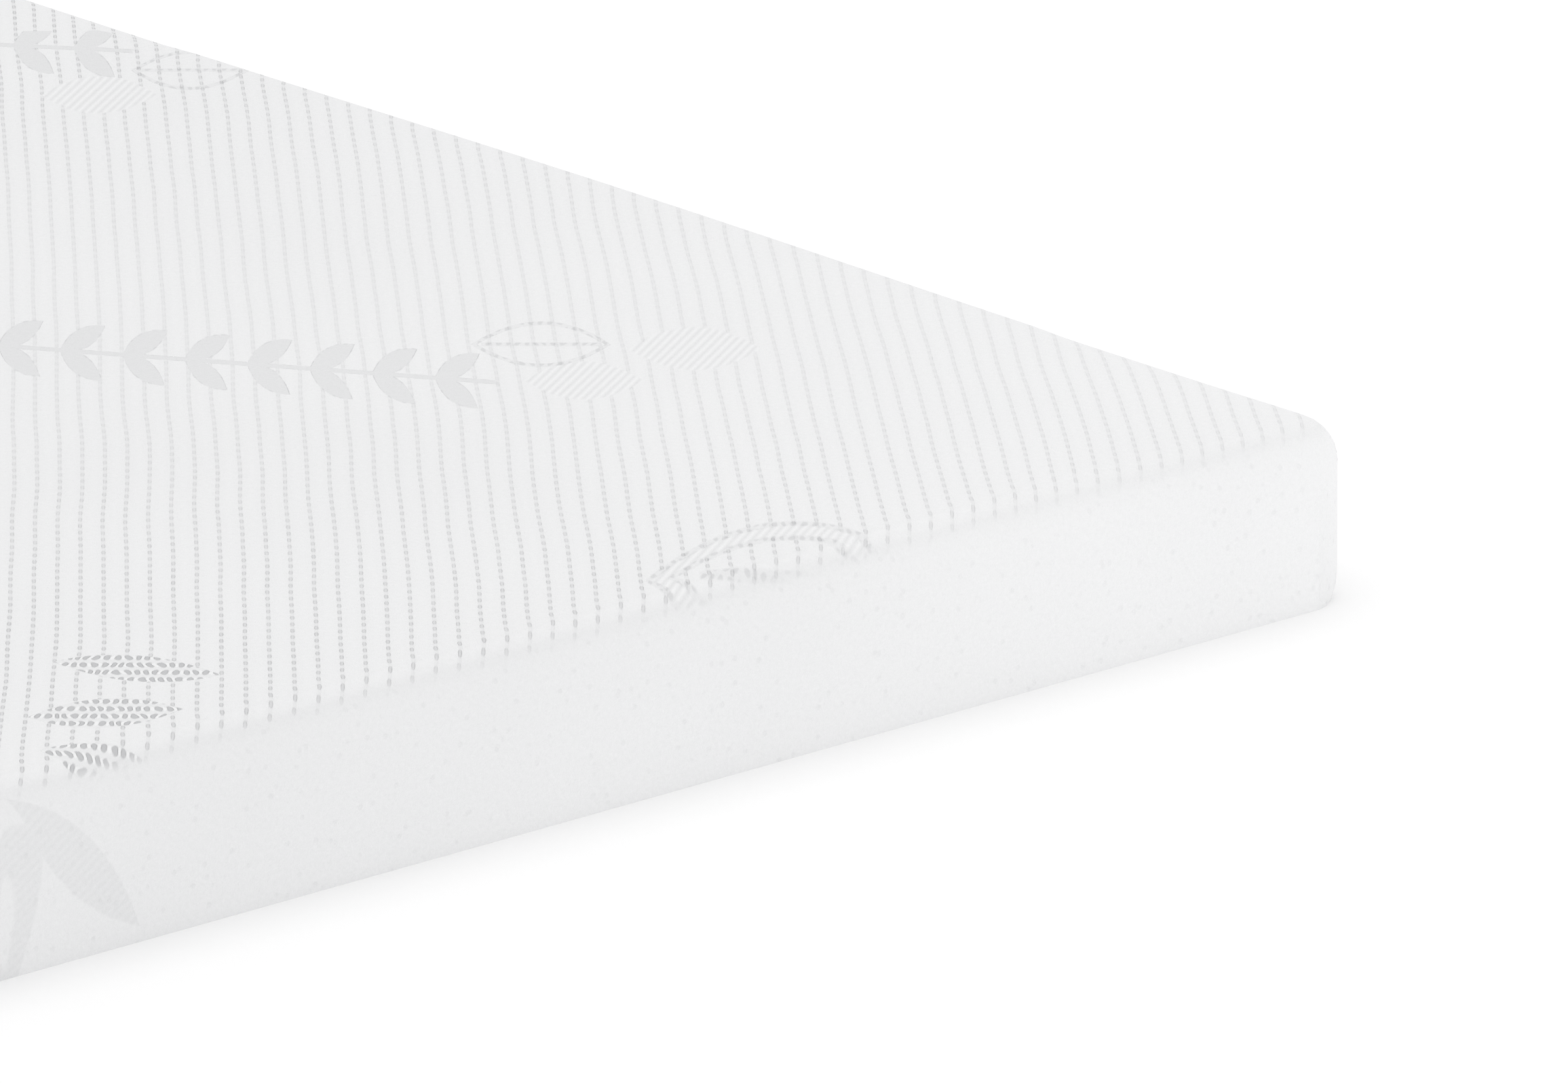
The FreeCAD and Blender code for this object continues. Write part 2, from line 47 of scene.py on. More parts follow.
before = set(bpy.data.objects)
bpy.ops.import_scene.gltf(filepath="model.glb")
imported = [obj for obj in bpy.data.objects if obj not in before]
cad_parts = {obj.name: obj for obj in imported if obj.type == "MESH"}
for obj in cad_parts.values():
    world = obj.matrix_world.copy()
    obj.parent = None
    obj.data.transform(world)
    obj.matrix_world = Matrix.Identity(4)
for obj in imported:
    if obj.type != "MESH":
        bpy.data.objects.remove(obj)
cad_low, cad_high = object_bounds()

# Cover: radii of its edges and corners, the lip turned in underneath, the cloth's thickness,
# and grid steps for its top, for its sides and for the coarse sheet that is pressed out.
TOP_RADIUS = 0.018
BOTTOM_RADIUS = 0.0015
CORNER_RADIUS = 0.024
LIP_WIDTH = 0.0085
CLOTH_THICKNESS = 0.003
FINE_STEP = 0.010
SIDE_STEP = 0.006
COARSE_STEP = 0.040

# Foam core: corners of the two foam layers, corners and thickness of the liner, and a grid step.
FOAM_CORNER = 0.0167
LINER_CORNER = 0.018
LINER_THICKNESS = 0.001
BLOCK_STEP = 0.030

# Sewn and moulded pieces lie this far off the plane they are on.
OFF_PLANE = 0.0001

# Softness: how far the foam presses the cloth out, the slow unevenness, how far from a corner the
# cloth stays firm, and how much and up to what height the lower corners are drawn in.
PUFF_LIMIT = 0.0022
PUFF_FRAMES = 15
UNEVENNESS = 0.0007
FIRM_CORNER = 0.16
CORNER_TUCK = 0.003
CORNER_TUCK_HEIGHT = 0.012

# Knit: the ribs run diagonally in plan, with rows of pin holes between them.
RIB_ANGLE = math.radians(-42.42)
RIB_SPACING = 0.0095
HOLE_SPACING = 0.0086
HOLE_HALF = (0.0008, 0.0027)
# Hatching of the woven leaves, and the staggered cells of their dots.
STRIPE_SPACING = 0.0038
STRIPE_SLANT = 0.30
DOT_CELL = (0.0040, 0.0098)
# Where the pattern's origin is, from the corner at +X and -Y, then the size of one repeat of
# the motifs, and where that repeat begins, from the origin.
PATTERN_FROM_CORNER = Vector((-0.2923, 0.0367))
PATTERN_REPEAT = Vector((0.576, 1.152))
PATTERN_START = Vector((-0.403, -0.432))
# The motifs are drawn out along the ribs, this many times their breadth.
MOTIF_STRETCH = 3.3
# Colours of the smooth cloth and of the deepest holes, whose darkness is painted shade.
KNIT_LIGHT = (0.890, 0.891, 0.896)
KNIT_DARK = (0.560, 0.563, 0.572)

# Camera: it looks at the corner at +X and -Y through a long lens, from low down.
CAMERA_AZIMUTH = math.radians(-42.42)
CAMERA_ELEVATION = math.radians(17.63)
CAMERA_WIDTH = 0.6465
CAMERA_LENS = 900.0
SENSOR_WIDTH = 36.0

# Studio: even light, one soft lamp, and a white floor that the soft cover sinks into a little, with a
# painted contact shadow and a faint glow of its own.
WORLD_LIGHT = 1.0
LAMP_POWER = 0.9
LAMP_PLACE = Vector((1.65, -1.6, 0.55))
LAMP_AIM = Vector((0.8, -0.45, 0.04))
FLOOR_PRESS = 0.0012
FLOOR_SHADOW = 0.040
FLOOR_OPEN = (0.94, 0.94, 0.94)
FLOOR_SHADED = (0.77, 0.77, 0.77)
FLOOR_GLOW = 0.09

# Zip: spacing of the teeth, how far the tapes reach in under them, and how much of its width
# the slider's post keeps, so that it runs between the rows.
ZIP_PITCH = 0.003
TAPE_REACH = 0.00055
POST_SHARE = 0.6

# Directions that stitches run or face.
ALONG_X, ALONG_Y, ALONG_Z = (1.0, 0.0, 0.0), (0.0, 1.0, 0.0), (0.0, 0.0, 1.0)

# Every random draw comes from here, so each run gives the same mattress.
random = np.random.default_rng(7)


# ---------------- meshes

def add_object(name, data):
    """A new object in the scene."""
    made = bpy.data.objects.new(name, data)
    bpy.context.scene.collection.objects.link(made)
    return made


def new_piece(name, points, faces, node, material, smooth=True):
    """A new mesh object on the mattress itself, which stands for a node of the frame."""
    mesh = bpy.data.meshes.new(name)
    mesh.from_pydata(np.reshape(points, (-1, 3)).tolist(), [], [tuple(face) for face in faces])
    mesh.validate()
    return dress(name, mesh, node, material, "root", smooth)


def dress(name, mesh, node, material, body, smooth):
    """An object for a mesh, with its material, its body and the node it stands for."""
    mesh.materials.clear()
    mesh.materials.append(material)
    if smooth:
        mesh.shade_smooth()
    else:
        mesh.shade_flat()
    piece = add_object(name, mesh)
    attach(piece, body)
    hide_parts(node)
    return piece


def size_of(node):
    """Lowest and highest corner of a node's box."""
    low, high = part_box(node)
    return Vector(low), Vector(high)


def steps(start, end, step):
    """Evenly spaced numbers from start to end, close to a step apart."""
    count = max(1, round(abs(end - start) / step))
    return np.linspace(start, end, count + 1)


def join_lines(*pieces):
    """Grid lines in order, each of them once."""
    return np.unique(np.round(np.concatenate(pieces), 7))


class Profile:
    """The way from a flat top over the edge and down the side, by distance along the cloth."""

    def __init__(self, low, high, corner, top, bottom, lip):
        self.core = (high - low) / 2 - Vector((corner, corner, 0))
        self.top, self.bottom = top, bottom
        self.low, self.high = low.z, high.z
        self.edge_start = corner - top
        self.wall_start = self.edge_start + top * math.pi / 2
        self.wall_end = self.wall_start + (high.z - low.z) - top - bottom
        self.turn_end = self.wall_end + bottom * math.pi / 2
        self.end = self.turn_end + lip

    def at(self, distance):
        """How far out from the core and how high the cloth is at a distance along it."""
        bend = np.clip((distance - self.edge_start) / self.top, 0, math.pi / 2)
        turn = np.clip((distance - self.wall_end) / self.bottom, 0, math.pi / 2)
        wall = np.clip(distance - self.wall_start, 0, self.wall_end - self.wall_start)
        tucked = np.clip(distance - self.turn_end, 0, None)
        out = np.minimum(distance, self.edge_start) + self.top * np.sin(bend)
        out = out - self.bottom * (1 - np.cos(turn)) - tucked
        height = self.high - self.top * (1 - np.cos(bend)) - wall - self.bottom * np.sin(turn)
        return out, height

    def wall_distance(self, height):
        """Distance along the cloth to a height on the side."""
        return self.wall_start + (self.high - self.top - height)


def wrap(lines_x, lines_y, core, profile):
    """Lays a flat grid over a rounded block: the points, and the same points on the flat cloth."""
    flat_x, flat_y = np.meshgrid(lines_x, lines_y, indexing="ij")
    core_x = np.clip(flat_x, -core.x, core.x)
    core_y = np.clip(flat_y, -core.y, core.y)
    over_x, over_y = flat_x - core_x, flat_y - core_y
    size_x, size_y = np.abs(over_x), np.abs(over_y)
    distance = np.maximum(size_x, size_y)
    small = np.minimum(size_x, size_y)
    slant = (math.pi / 4) * small / np.maximum(distance, 1e-12)
    angle = np.where(size_x >= size_y, slant, math.pi / 2 - slant)
    toward_x = np.cos(angle) * np.sign(over_x)
    toward_y = np.sin(angle) * np.sign(over_y)
    out, height = profile(distance)
    points = np.stack([core_x + out * toward_x, core_y + out * toward_y, height], axis=-1)
    cloth = np.stack([core_x + distance * toward_x, core_y + distance * toward_y, distance], axis=-1)
    return points, cloth


def grid_faces(count_x, count_y, keep=None):
    """Quads of a grid, as rows of corner numbers; keep says which cells stay."""
    number = np.arange(count_x * count_y).reshape(count_x, count_y)
    quads = np.stack([number[:-1, :-1], number[1:, :-1], number[1:, 1:], number[:-1, 1:]], axis=-1)
    return quads[keep] if keep is not None else quads.reshape(-1, 4)


def tube_faces(rings, around):
    """Faces of a closed tube: its sides from ring to ring, then its two ends."""
    faces = []
    for ring in range(rings - 1):
        for side in range(around):
            first = ring * around + side
            second = ring * around + (side + 1) % around
            faces.append((first, second, second + around, first + around))
    faces.append(tuple(range(around - 1, -1, -1)))
    faces.append(tuple(range((rings - 1) * around, rings * around)))
    return faces


def repeated(faces, corners, copies):
    """The same faces for each copy of a mesh with so many corners."""
    return [
        tuple(corner + copy * corners for corner in face) for copy in range(copies) for face in faces
    ]


def places(x, y, z):
    """Points from their coordinates, of which some may be one number for all."""
    return np.stack(np.broadcast_arrays(x, y, z), axis=-1)


def both_ways(inner, outward):
    """Grid lines across the whole block: the inner ones, and the outward ones on both ends."""
    end = inner[-1]
    return join_lines(-end - outward, inner, end + outward)


def block_lines(core, outward, step):
    """Grid lines in X and in Y over a rounded block: a step apart on its core, and outward of it."""
    return [both_ways(steps(-half, half, step), outward) for half in core.xy]


def thicken(piece, thickness):
    """Gives a sheet a thickness, inwards from where it lies."""
    solid = piece.modifiers.new("thickness", "SOLIDIFY")
    solid.thickness = thickness
    solid.offset = -1
    solid.use_rim = True
    return solid


def slab(low, high, corner, top, bottom):
    """A closed block with rounded edges: the upper sheet and a flat underside that share a rim."""
    shape = Profile(low, high, corner, top, bottom, 0)
    outward = join_lines(
        np.array([0, shape.edge_start]),
        np.linspace(shape.edge_start, shape.wall_start, 5),
        steps(shape.wall_start, shape.wall_end, BLOCK_STEP),
        np.linspace(shape.wall_end, shape.turn_end, 4),
    )
    rim_out, rim_height = shape.at(np.array([shape.end]))
    points, faces = [], []
    for scale, profile in (
        (1, shape.at),
        (rim_out[0] / shape.end, lambda distance: (distance, np.full_like(distance, rim_height[0]))),
    ):
        lines_x, lines_y = block_lines(shape.core, outward * scale, BLOCK_STEP)
        sheet, _ = wrap(lines_x, lines_y, shape.core, profile)
        quads = grid_faces(len(lines_x), len(lines_y))
        faces.append((quads if scale == 1 else quads[:, ::-1]) + sum(len(part) for part in points))
        points.append(sheet.reshape(-1, 3))
    middle = np.array([(low.x + high.x) / 2, (low.y + high.y) / 2, 0])
    return np.concatenate(points) + middle, np.concatenate(faces)


def weld(mesh, reach=1e-6, flat_angle=None):
    """Joins corners that meet and, where an angle is given, triangles that lie in one plane."""
    shape = bmesh.new()
    shape.from_mesh(mesh)
    bmesh.ops.remove_doubles(shape, verts=shape.verts, dist=reach)
    if flat_angle:
        bmesh.ops.dissolve_limit(shape, angle_limit=flat_angle, verts=shape.verts, edges=shape.edges)
    shape.to_mesh(mesh)
    shape.free()


# ---------------- shader arithmetic

class Field:
    """A number that varies over a surface. Arithmetic on it adds Math nodes to its material."""

    def __init__(self, tree, socket):
        self.tree, self.socket = tree, socket

    def math(self, operation, *others, reverse=False):
        node = self.tree.nodes.new("ShaderNodeMath")
        node.operation = operation
        terms = [*others, self] if reverse else [self, *others]
        for slot, term in zip(node.inputs, terms):
            if isinstance(term, Field):
                self.tree.links.new(term.socket, slot)
            else:
                slot.default_value = term
        return Field(self.tree, node.outputs[0])

    def __add__(self, other):
        return self.math("ADD", other)

    def __sub__(self, other):
        return self.math("SUBTRACT", other)

    def __rsub__(self, other):
        return self.math("SUBTRACT", other, reverse=True)

    def __mul__(self, other):
        return self.math("MULTIPLY", other)

    def __truediv__(self, other):
        return self.math("DIVIDE", other)

    def __abs__(self):
        return self.math("ABSOLUTE")

    __radd__ = __add__
    __rmul__ = __mul__

    def stripes(self, spacing):
        """Sharp ridges a spacing apart: 1 on each crest and 0 halfway between."""
        return abs((self / spacing).math("FRACT") - 0.5) * 2.0

    def fall(self, start, end):
        """1 where the field is below start, 0 where it is above end, smooth between."""
        node = self.tree.nodes.new("ShaderNodeMapRange")
        node.interpolation_type = "SMOOTHSTEP"
        self.tree.links.new(self.socket, node.inputs["Value"])
        node.inputs["From Min"].default_value = start
        node.inputs["From Max"].default_value = end
        node.inputs["To Min"].default_value = 1
        node.inputs["To Max"].default_value = 0
        return Field(self.tree, node.outputs["Result"])

    def most(self, other):
        return self.math("MAXIMUM", other)

    def least(self, other):
        return self.math("MINIMUM", other)


class Surface:
    """A Principled material under construction."""

    def __init__(self, name, roughness, sheen=0.0, metallic=0.0, specular=0.3):
        self.material = bpy.data.materials.new(name)
        self.material.use_nodes = True
        self.tree = self.material.node_tree
        self.shader = self.tree.nodes["Principled BSDF"]
        self.shader.inputs["Roughness"].default_value = roughness
        self.shader.inputs["Metallic"].default_value = metallic
        self.shader.inputs["Specular IOR Level"].default_value = specular
        self.shader.inputs["Sheen Weight"].default_value = sheen
        self.shader.inputs["Sheen Roughness"].default_value = 0.4

    def attribute(self, name):
        node = self.tree.nodes.new("ShaderNodeAttribute")
        node.attribute_name = name
        return self.parts_of(node.outputs["Vector"])

    def place(self):
        """Where the surface is on the object, in metres: x, y, z and all three as a vector."""
        where = self.tree.nodes.new("ShaderNodeTexCoord").outputs["Object"]
        return *self.parts_of(where), where

    def parts_of(self, socket):
        node = self.tree.nodes.new("ShaderNodeSeparateXYZ")
        self.tree.links.new(socket, node.inputs[0])
        return [Field(self.tree, output) for output in node.outputs]

    def vector(self, x, y, z):
        node = self.tree.nodes.new("ShaderNodeCombineXYZ")
        for slot, field in zip(node.inputs, (x, y, z)):
            if isinstance(field, Field):
                self.tree.links.new(field.socket, slot)
            else:
                slot.default_value = field
        return node.outputs[0]

    def noise(self, where, scale, detail=2.0):
        node = self.tree.nodes.new("ShaderNodeTexNoise")
        node.inputs["Scale"].default_value = scale
        node.inputs["Detail"].default_value = detail
        self.tree.links.new(where, node.inputs["Vector"])
        return Field(self.tree, node.outputs["Fac"])

    def cells(self, where, scale):
        node = self.tree.nodes.new("ShaderNodeTexVoronoi")
        node.inputs["Scale"].default_value = scale
        self.tree.links.new(where, node.inputs["Vector"])
        return Field(self.tree, node.outputs["Distance"])

    def hashed(self, field):
        """A fixed random number from 0 to 1 for each value of a field."""
        node = self.tree.nodes.new("ShaderNodeTexWhiteNoise")
        node.noise_dimensions = "1D"
        self.tree.links.new(field.socket, node.inputs["W"])
        return Field(self.tree, node.outputs["Value"])

    def paint(self, amount, at_zero, at_one):
        """Base colour between two colours, by a field."""
        node = self.tree.nodes.new("ShaderNodeMix")
        node.data_type = "RGBA"
        node.inputs["A"].default_value = (*at_zero, 1)
        node.inputs["B"].default_value = (*at_one, 1)
        self.tree.links.new(amount.socket, node.inputs["Factor"])
        self.tree.links.new(node.outputs["Result"], self.shader.inputs["Base Color"])

    def relief(self, height, depth):
        """Bump from a height field in metres of depth."""
        node = self.tree.nodes.new("ShaderNodeBump")
        node.inputs["Distance"].default_value = depth
        self.tree.links.new(height.socket, node.inputs["Height"])
        self.tree.links.new(node.outputs["Normal"], self.shader.inputs["Normal"])

    def rough(self, field):
        self.tree.links.new(field.socket, self.shader.inputs["Roughness"])


# ---------------- knit pattern

def leaf(across, along, centre, size, slope=0.0):
    """Below zero inside a leaf with a point at either end, and zero on its rim."""
    p = across - centre[0]
    q = along - centre[1] - p * slope
    end = p * (2 / size[0])
    return abs(q) * (2 / size[1]) + end * end - 1.0


def vein(across, along, centre, size, slope=0.0):
    """Below zero on the middle line of a leaf, which stops short of its points."""
    reach, half_breadth = 0.8, 0.05
    p = across - centre[0]
    q = along - centre[1] - p * slope
    return (abs(q) * (2 / size[1])).most(abs(p) * (2 / size[0]) - reach) - half_breadth


def sprig(across, along, tip, length, slope):
    """Below zero inside a stem with pairs of slanting leaves, which ends at its tip."""
    leaf_step, leaf_middle, leaf_rise = 0.0262, 0.0135, 0.0058
    half_leaf, half_breadth, half_stem = 0.0112, 0.0043, 0.0028
    lean, past_tip, end_sharpness = math.radians(34), 0.004, 60.0
    p = across - tip[0]
    q = along - tip[1] - p * slope
    beside = (p / leaf_step).math("FRACT") * leaf_step - leaf_middle
    rise = abs(q) * (1 / MOTIF_STRETCH) - leaf_rise
    long_way = (beside * math.cos(lean) + rise * math.sin(lean)) * (1 / half_leaf)
    wide_way = rise * math.cos(lean) - beside * math.sin(lean)
    leaves = abs(wide_way) * (1 / half_breadth) + long_way * long_way - 1.0
    stem = abs(q) * (1 / half_stem) - 1.0
    beyond = ((p - past_tip).most((p + length) * -1.0)) * end_sharpness
    return leaves.least(stem).most(beyond)


def least_of(shapes):
    """All the shapes as one: the least of their fields."""
    result = shapes[0]
    for shape in shapes[1:]:
        result = result.least(shape)
    return result


def knit_motifs(across, along):
    """Shapes of one repeat of the cloth: plain satin, hatched, outlined and dotted leaves.

    Places and sizes are across and along the ribs, from the pattern's origin.
    """
    u, v = (
        ((field - start) / repeat).math("FRACT") * repeat + start
        for field, start, repeat in zip((across, along), PATTERN_START, PATTERN_REPEAT)
    )
    satin = [
        sprig(u, v, (-0.124, 0.214), 0.272, -0.245),
        sprig(u, v, (-0.283, 0.688), 0.112, -0.20),
    ]
    side = [
        leaf(u, v, (-0.266, -0.3330), (0.096, 0.022), -0.066),
        abs(leaf(u, v, (-0.284, -0.3720), (0.052, 0.058), -1.09) + 0.34) - 0.40,
    ]
    hatched = [
        leaf(u, v, (-0.0835, 0.2160), (0.050, 0.056)),
        leaf(u, v, (-0.0374, 0.2616), (0.056, 0.062)),
        leaf(u, v, (-0.2928, 0.6230), (0.050, 0.056)),
    ]
    outlined = [
        ((-0.1018, 0.2678), (0.056, 0.060), 0.0),
        ((-0.2544, 0.6590), (0.048, 0.054), 0.0),
    ]
    wide_leaf = leaf(u, v, (-0.0038, -0.0420), (0.104, 0.112), 0.35)
    lines = [abs(leaf(u, v, *shape)) - 0.05 for shape in outlined]
    lines += [vein(u, v, *shape) for shape in outlined]
    lines += [abs(wide_leaf) - 0.03, abs(wide_leaf + 0.34) - 0.03]
    lines.append(vein(u, v, (-0.0038, -0.0420), (0.070, 0.112), 0.35))
    hatched.append(abs(wide_leaf + 0.17) - 0.17)
    dotted = [
        leaf(u, v, (-0.264, -0.176), (0.068, 0.034), -0.25),
        leaf(u, v, (-0.276, -0.236), (0.062, 0.038), 0.18),
        leaf(u, v, (-0.266, -0.296), (0.072, 0.038), -0.30),
    ]
    return [least_of(shapes) for shapes in (satin, side, hatched, lines, dotted)]


def dots(across, along, spacing, half, shift=0.0):
    """Round or long holes on a lattice: 1 in a hole and 0 between them."""
    x = ((across / spacing[0]).math("FRACT") - 0.5) * (spacing[0] / half[0])
    y = ((along / spacing[1] + shift).math("FRACT") - 0.5) * (spacing[1] / half[1])
    return (x * x + y * y).fall(0.3, 1.4)


def knit_material():
    """White double-knit: ribs between rows of pin holes, fine loops, and woven leaf motifs."""
    surface = Surface("knit", roughness=0.86, sheen=0.10, specular=0.2)
    bent, along, topness = surface.attribute("cloth")
    across, straight, _ = surface.attribute("plan")
    where = surface.vector(across, straight, 0.0)
    satin, side, hatched, lines, dotted = knit_motifs(across, straight)
    stripes = (across - straight * STRIPE_SLANT).stripes(STRIPE_SPACING)
    on_satin = satin.fall(-0.08, 0.04) * topness
    satin_rim = abs(satin + 0.02).fall(0.03, 0.12) * topness
    on_side = side.fall(-0.10, 0.06) * (1.0 - topness)
    on_hatch = hatched.fall(-0.10, 0.04) * topness
    on_line = lines.fall(0.0, 0.06) * topness
    on_dotted = dotted.fall(-0.02, 0.06) * topness

    sway = surface.noise(where, 9.0, 1.0)
    rib = bent + (sway - 0.5) * 0.0035
    row = (rib / RIB_SPACING).math("FLOOR")
    shift = surface.hashed(row)
    plain = topness * (1.0 - on_satin) * (1.0 - on_hatch) * (1.0 - on_dotted)
    # The holes are drawn open in some stretches of the cloth and nearly closed in others.
    open_holes = ((along + 0.26) * (2 * math.pi / PATTERN_REPEAT.y)).math("COSINE") * 0.42 + 0.58
    size = surface.noise(where, 45.0, 2.0)
    holes = dots(rib, along, (RIB_SPACING, HOLE_SPACING), HOLE_HALF, shift)
    holes = holes * plain * open_holes * (size * 0.9 + 0.5)
    from_row = abs((rib / RIB_SPACING).math("FRACT") - 0.5) * RIB_SPACING
    groove = from_row.fall(0.0002, 0.0011) * plain
    shoulder = from_row.fall(0.0002, 0.0045) * plain

    half_cell = DOT_CELL[0] / 2
    brick = (straight / DOT_CELL[1]).math("FLOOR") * half_cell
    spread = (surface.noise(where, 90.0, 1.0) - 0.5) * 0.006
    stipple = dots(across + brick + spread, straight, DOT_CELL, (0.0012, 0.0036))
    specks = dots(across + brick + spread + half_cell, straight, DOT_CELL, (0.0009, 0.0030))
    # Small dents on the sides, which are painted darker as shade in them.
    dents = surface.cells(where, 140.0).fall(0.06, 0.24) * (1.0 - topness)
    patches = surface.noise(where, 6.0, 2.0)
    # Painted shade and light: a slow cosine wave across the ribs, darkening and lightening the sides
    # in turn and the top a little.
    tone = ((across + 0.30) * (2 * math.pi / PATTERN_REPEAT.y)).math("COSINE")
    fuzz = surface.noise(where, 420.0, 3.0)
    loops = surface.noise(surface.vector(across * 2.6, straight, 0.0), 700.0, 1.0)

    # How dark the cloth is: its mottle, painted shade in the rows of holes, in the grooves between
    # the ribs and on the ribs' flanks, then each kind of motif, with painted shade in the holes of
    # its dots.
    shade = 0.16 + (patches - 0.5) * 0.10 + (fuzz - 0.5) * 0.16 + (loops - 0.5) * 0.14
    shade = shade + holes * 0.40 + groove * 0.10 + shoulder * 0.03
    # Painted shade: a darker band where the cloth bends over the edge.
    shade = shade + topness * (1.0 - topness) * 0.28
    shade = shade + on_satin * 0.27 + satin_rim * stipple * 0.2
    shade = shade + on_side * (0.10 + stripes * 0.07) + on_hatch * (stripes - 0.35) * 0.34
    shade = shade + on_line * (0.12 + stipple * 0.35)
    shade = shade + on_dotted * (stipple * 0.95 - specks * 0.25 + 0.10)
    # Painted shade in the dents, the slow painted wave, and the top painted lighter than the sides.
    shade = shade + dents * patches * 0.18 + tone * (0.09 - topness * 0.05) - topness * 0.09
    surface.paint(shade, KNIT_LIGHT, KNIT_DARK)

    # How high it stands, in parts of the relief's depth.
    height = 1.0 - shoulder * 0.35 - groove * 0.25 - holes * 0.5
    height = height - on_satin * 0.45 - on_line * 0.35 - on_side * 0.25 - dents * 0.3
    height = height + on_hatch * (stripes - 0.5) * 0.35 - on_dotted * (stipple * 0.7 - specks * 0.3)
    height = height + (fuzz - 0.5) * 0.25 + (loops - 0.5) * 0.25
    surface.relief(height, 0.0006)
    return surface.material


# ---------------- other materials

def woven_material(name, light, dark, thread):
    """Plain weave: threads over and under each other at a given spacing."""
    surface = Surface(name, roughness=0.85, sheen=0.15, specular=0.2)
    x, y, z, where = surface.place()
    warp = ((x / thread).math("FRACT") - 0.5) * 2.0
    weft = (((y + z) / thread).math("FRACT") - 0.5) * 2.0
    over = (1.0 - warp * warp) * 0.5 + (1.0 - weft * weft) * 0.5
    mottle = surface.noise(where, 30.0, 3.0)
    # Painted shade where each thread dips under the next, and a random mottle.
    shade = (1.0 - over) * 0.5 + (mottle - 0.5) * 0.4 + 0.1
    surface.paint(shade, light, dark)
    surface.relief(over, thread * 0.25)
    return surface.material


def foam_material(name, light, dark, cell):
    """Open-cell foam: small round pores of uneven size and a slow change of tone."""
    surface = Surface(name, roughness=0.95, specular=0.1)
    *_, where = surface.place()
    pores = surface.cells(where, 1 / cell).fall(0.1, 0.45)
    tone = surface.noise(where, 6.0, 3.0)
    # Painted shade in the pores, and a slow change of tone.
    surface.paint(pores * 0.6 + tone * 0.4, light, dark)
    surface.relief(1.0 - pores, cell * 0.4)
    return surface.material


def metal_material():
    """Cast zinc with a fine satin finish, rubbed smoother in places."""
    surface = Surface("zip_metal", roughness=0.35, metallic=1.0, specular=0.5)
    x, y, z, where = surface.place()
    grain = surface.noise(surface.vector(x * 0.2, y, z), 4000.0, 2.0)
    wear = surface.noise(where, 300.0, 2.0)
    surface.paint(wear, (0.53, 0.53, 0.54), (0.40, 0.40, 0.41))
    surface.rough(wear * 0.25 + 0.22)
    surface.relief(grain, 0.00003)
    return surface.material


def nylon_material():
    """Off-white moulded nylon with slight unevenness."""
    surface = Surface("zip_nylon", roughness=0.4, specular=0.45)
    *_, where = surface.place()
    uneven = surface.noise(where, 700.0, 2.0)
    surface.paint(uneven, (0.76, 0.76, 0.75), (0.66, 0.66, 0.65))
    surface.rough(uneven * 0.2 + 0.32)
    surface.relief(uneven, 0.00004)
    return surface.material


def thread_material():
    """Twisted sewing thread: slanting plies."""
    surface = Surface("thread", roughness=0.6, sheen=0.2, specular=0.3)
    x, y, z, _ = surface.place()
    plies = (x + y + z * 1.4).stripes(0.00035)
    # Painted shade in the grooves between the plies.
    surface.paint(plies, (0.62, 0.62, 0.63), (0.78, 0.78, 0.79))
    surface.relief(plies, 0.00008)
    return surface.material


def satin_material():
    """Blank label tape: fine satin lines across it."""
    surface = Surface("label_satin", roughness=0.45, sheen=0.3, specular=0.4)
    *_, z, where = surface.place()
    lines = z.stripes(0.0005)
    mottle = surface.noise(where, 80.0, 2.0)
    surface.paint(lines * 0.5 + mottle * 0.5, (0.83, 0.83, 0.83), (0.70, 0.70, 0.71))
    surface.relief(lines, 0.00005)
    return surface.material


# ---------------- cover

def cover_lines(shape, slot_low, slot_high):
    """Grid lines of the cover sheet, with lines on the slot's edges."""
    top_of_slot = shape.wall_distance(slot_high.z)
    foot_of_slot = shape.wall_distance(slot_low.z)
    outward = join_lines(
        np.array([0, shape.edge_start / 2]),
        np.linspace(shape.edge_start, shape.wall_start, 9),
        steps(shape.wall_start, top_of_slot, SIDE_STEP),
        steps(top_of_slot, foot_of_slot, SIDE_STEP),
        steps(foot_of_slot, shape.wall_end, SIDE_STEP),
        np.linspace(shape.wall_end, shape.turn_end, 6),
        np.array([shape.end]),
    )
    inner_x = join_lines(
        steps(-shape.core.x, slot_low.x, FINE_STEP),
        steps(slot_low.x, slot_high.x, FINE_STEP),
        steps(slot_high.x, shape.core.x, FINE_STEP),
    )
    inner_y = steps(-shape.core.y, shape.core.y, FINE_STEP)
    return both_ways(inner_x, outward), both_ways(inner_y, outward)


def slot_corners():
    """The slot for the zip is as long as a row of its stitching and as high as the bar tacks."""
    row_low, row_high = size_of("zip_stitch_upper")
    tacks_low, tacks_high = size_of("zip_bartacks")
    return Vector((row_low.x, 0, tacks_low.z)), Vector((row_high.x, 0, tacks_high.z))


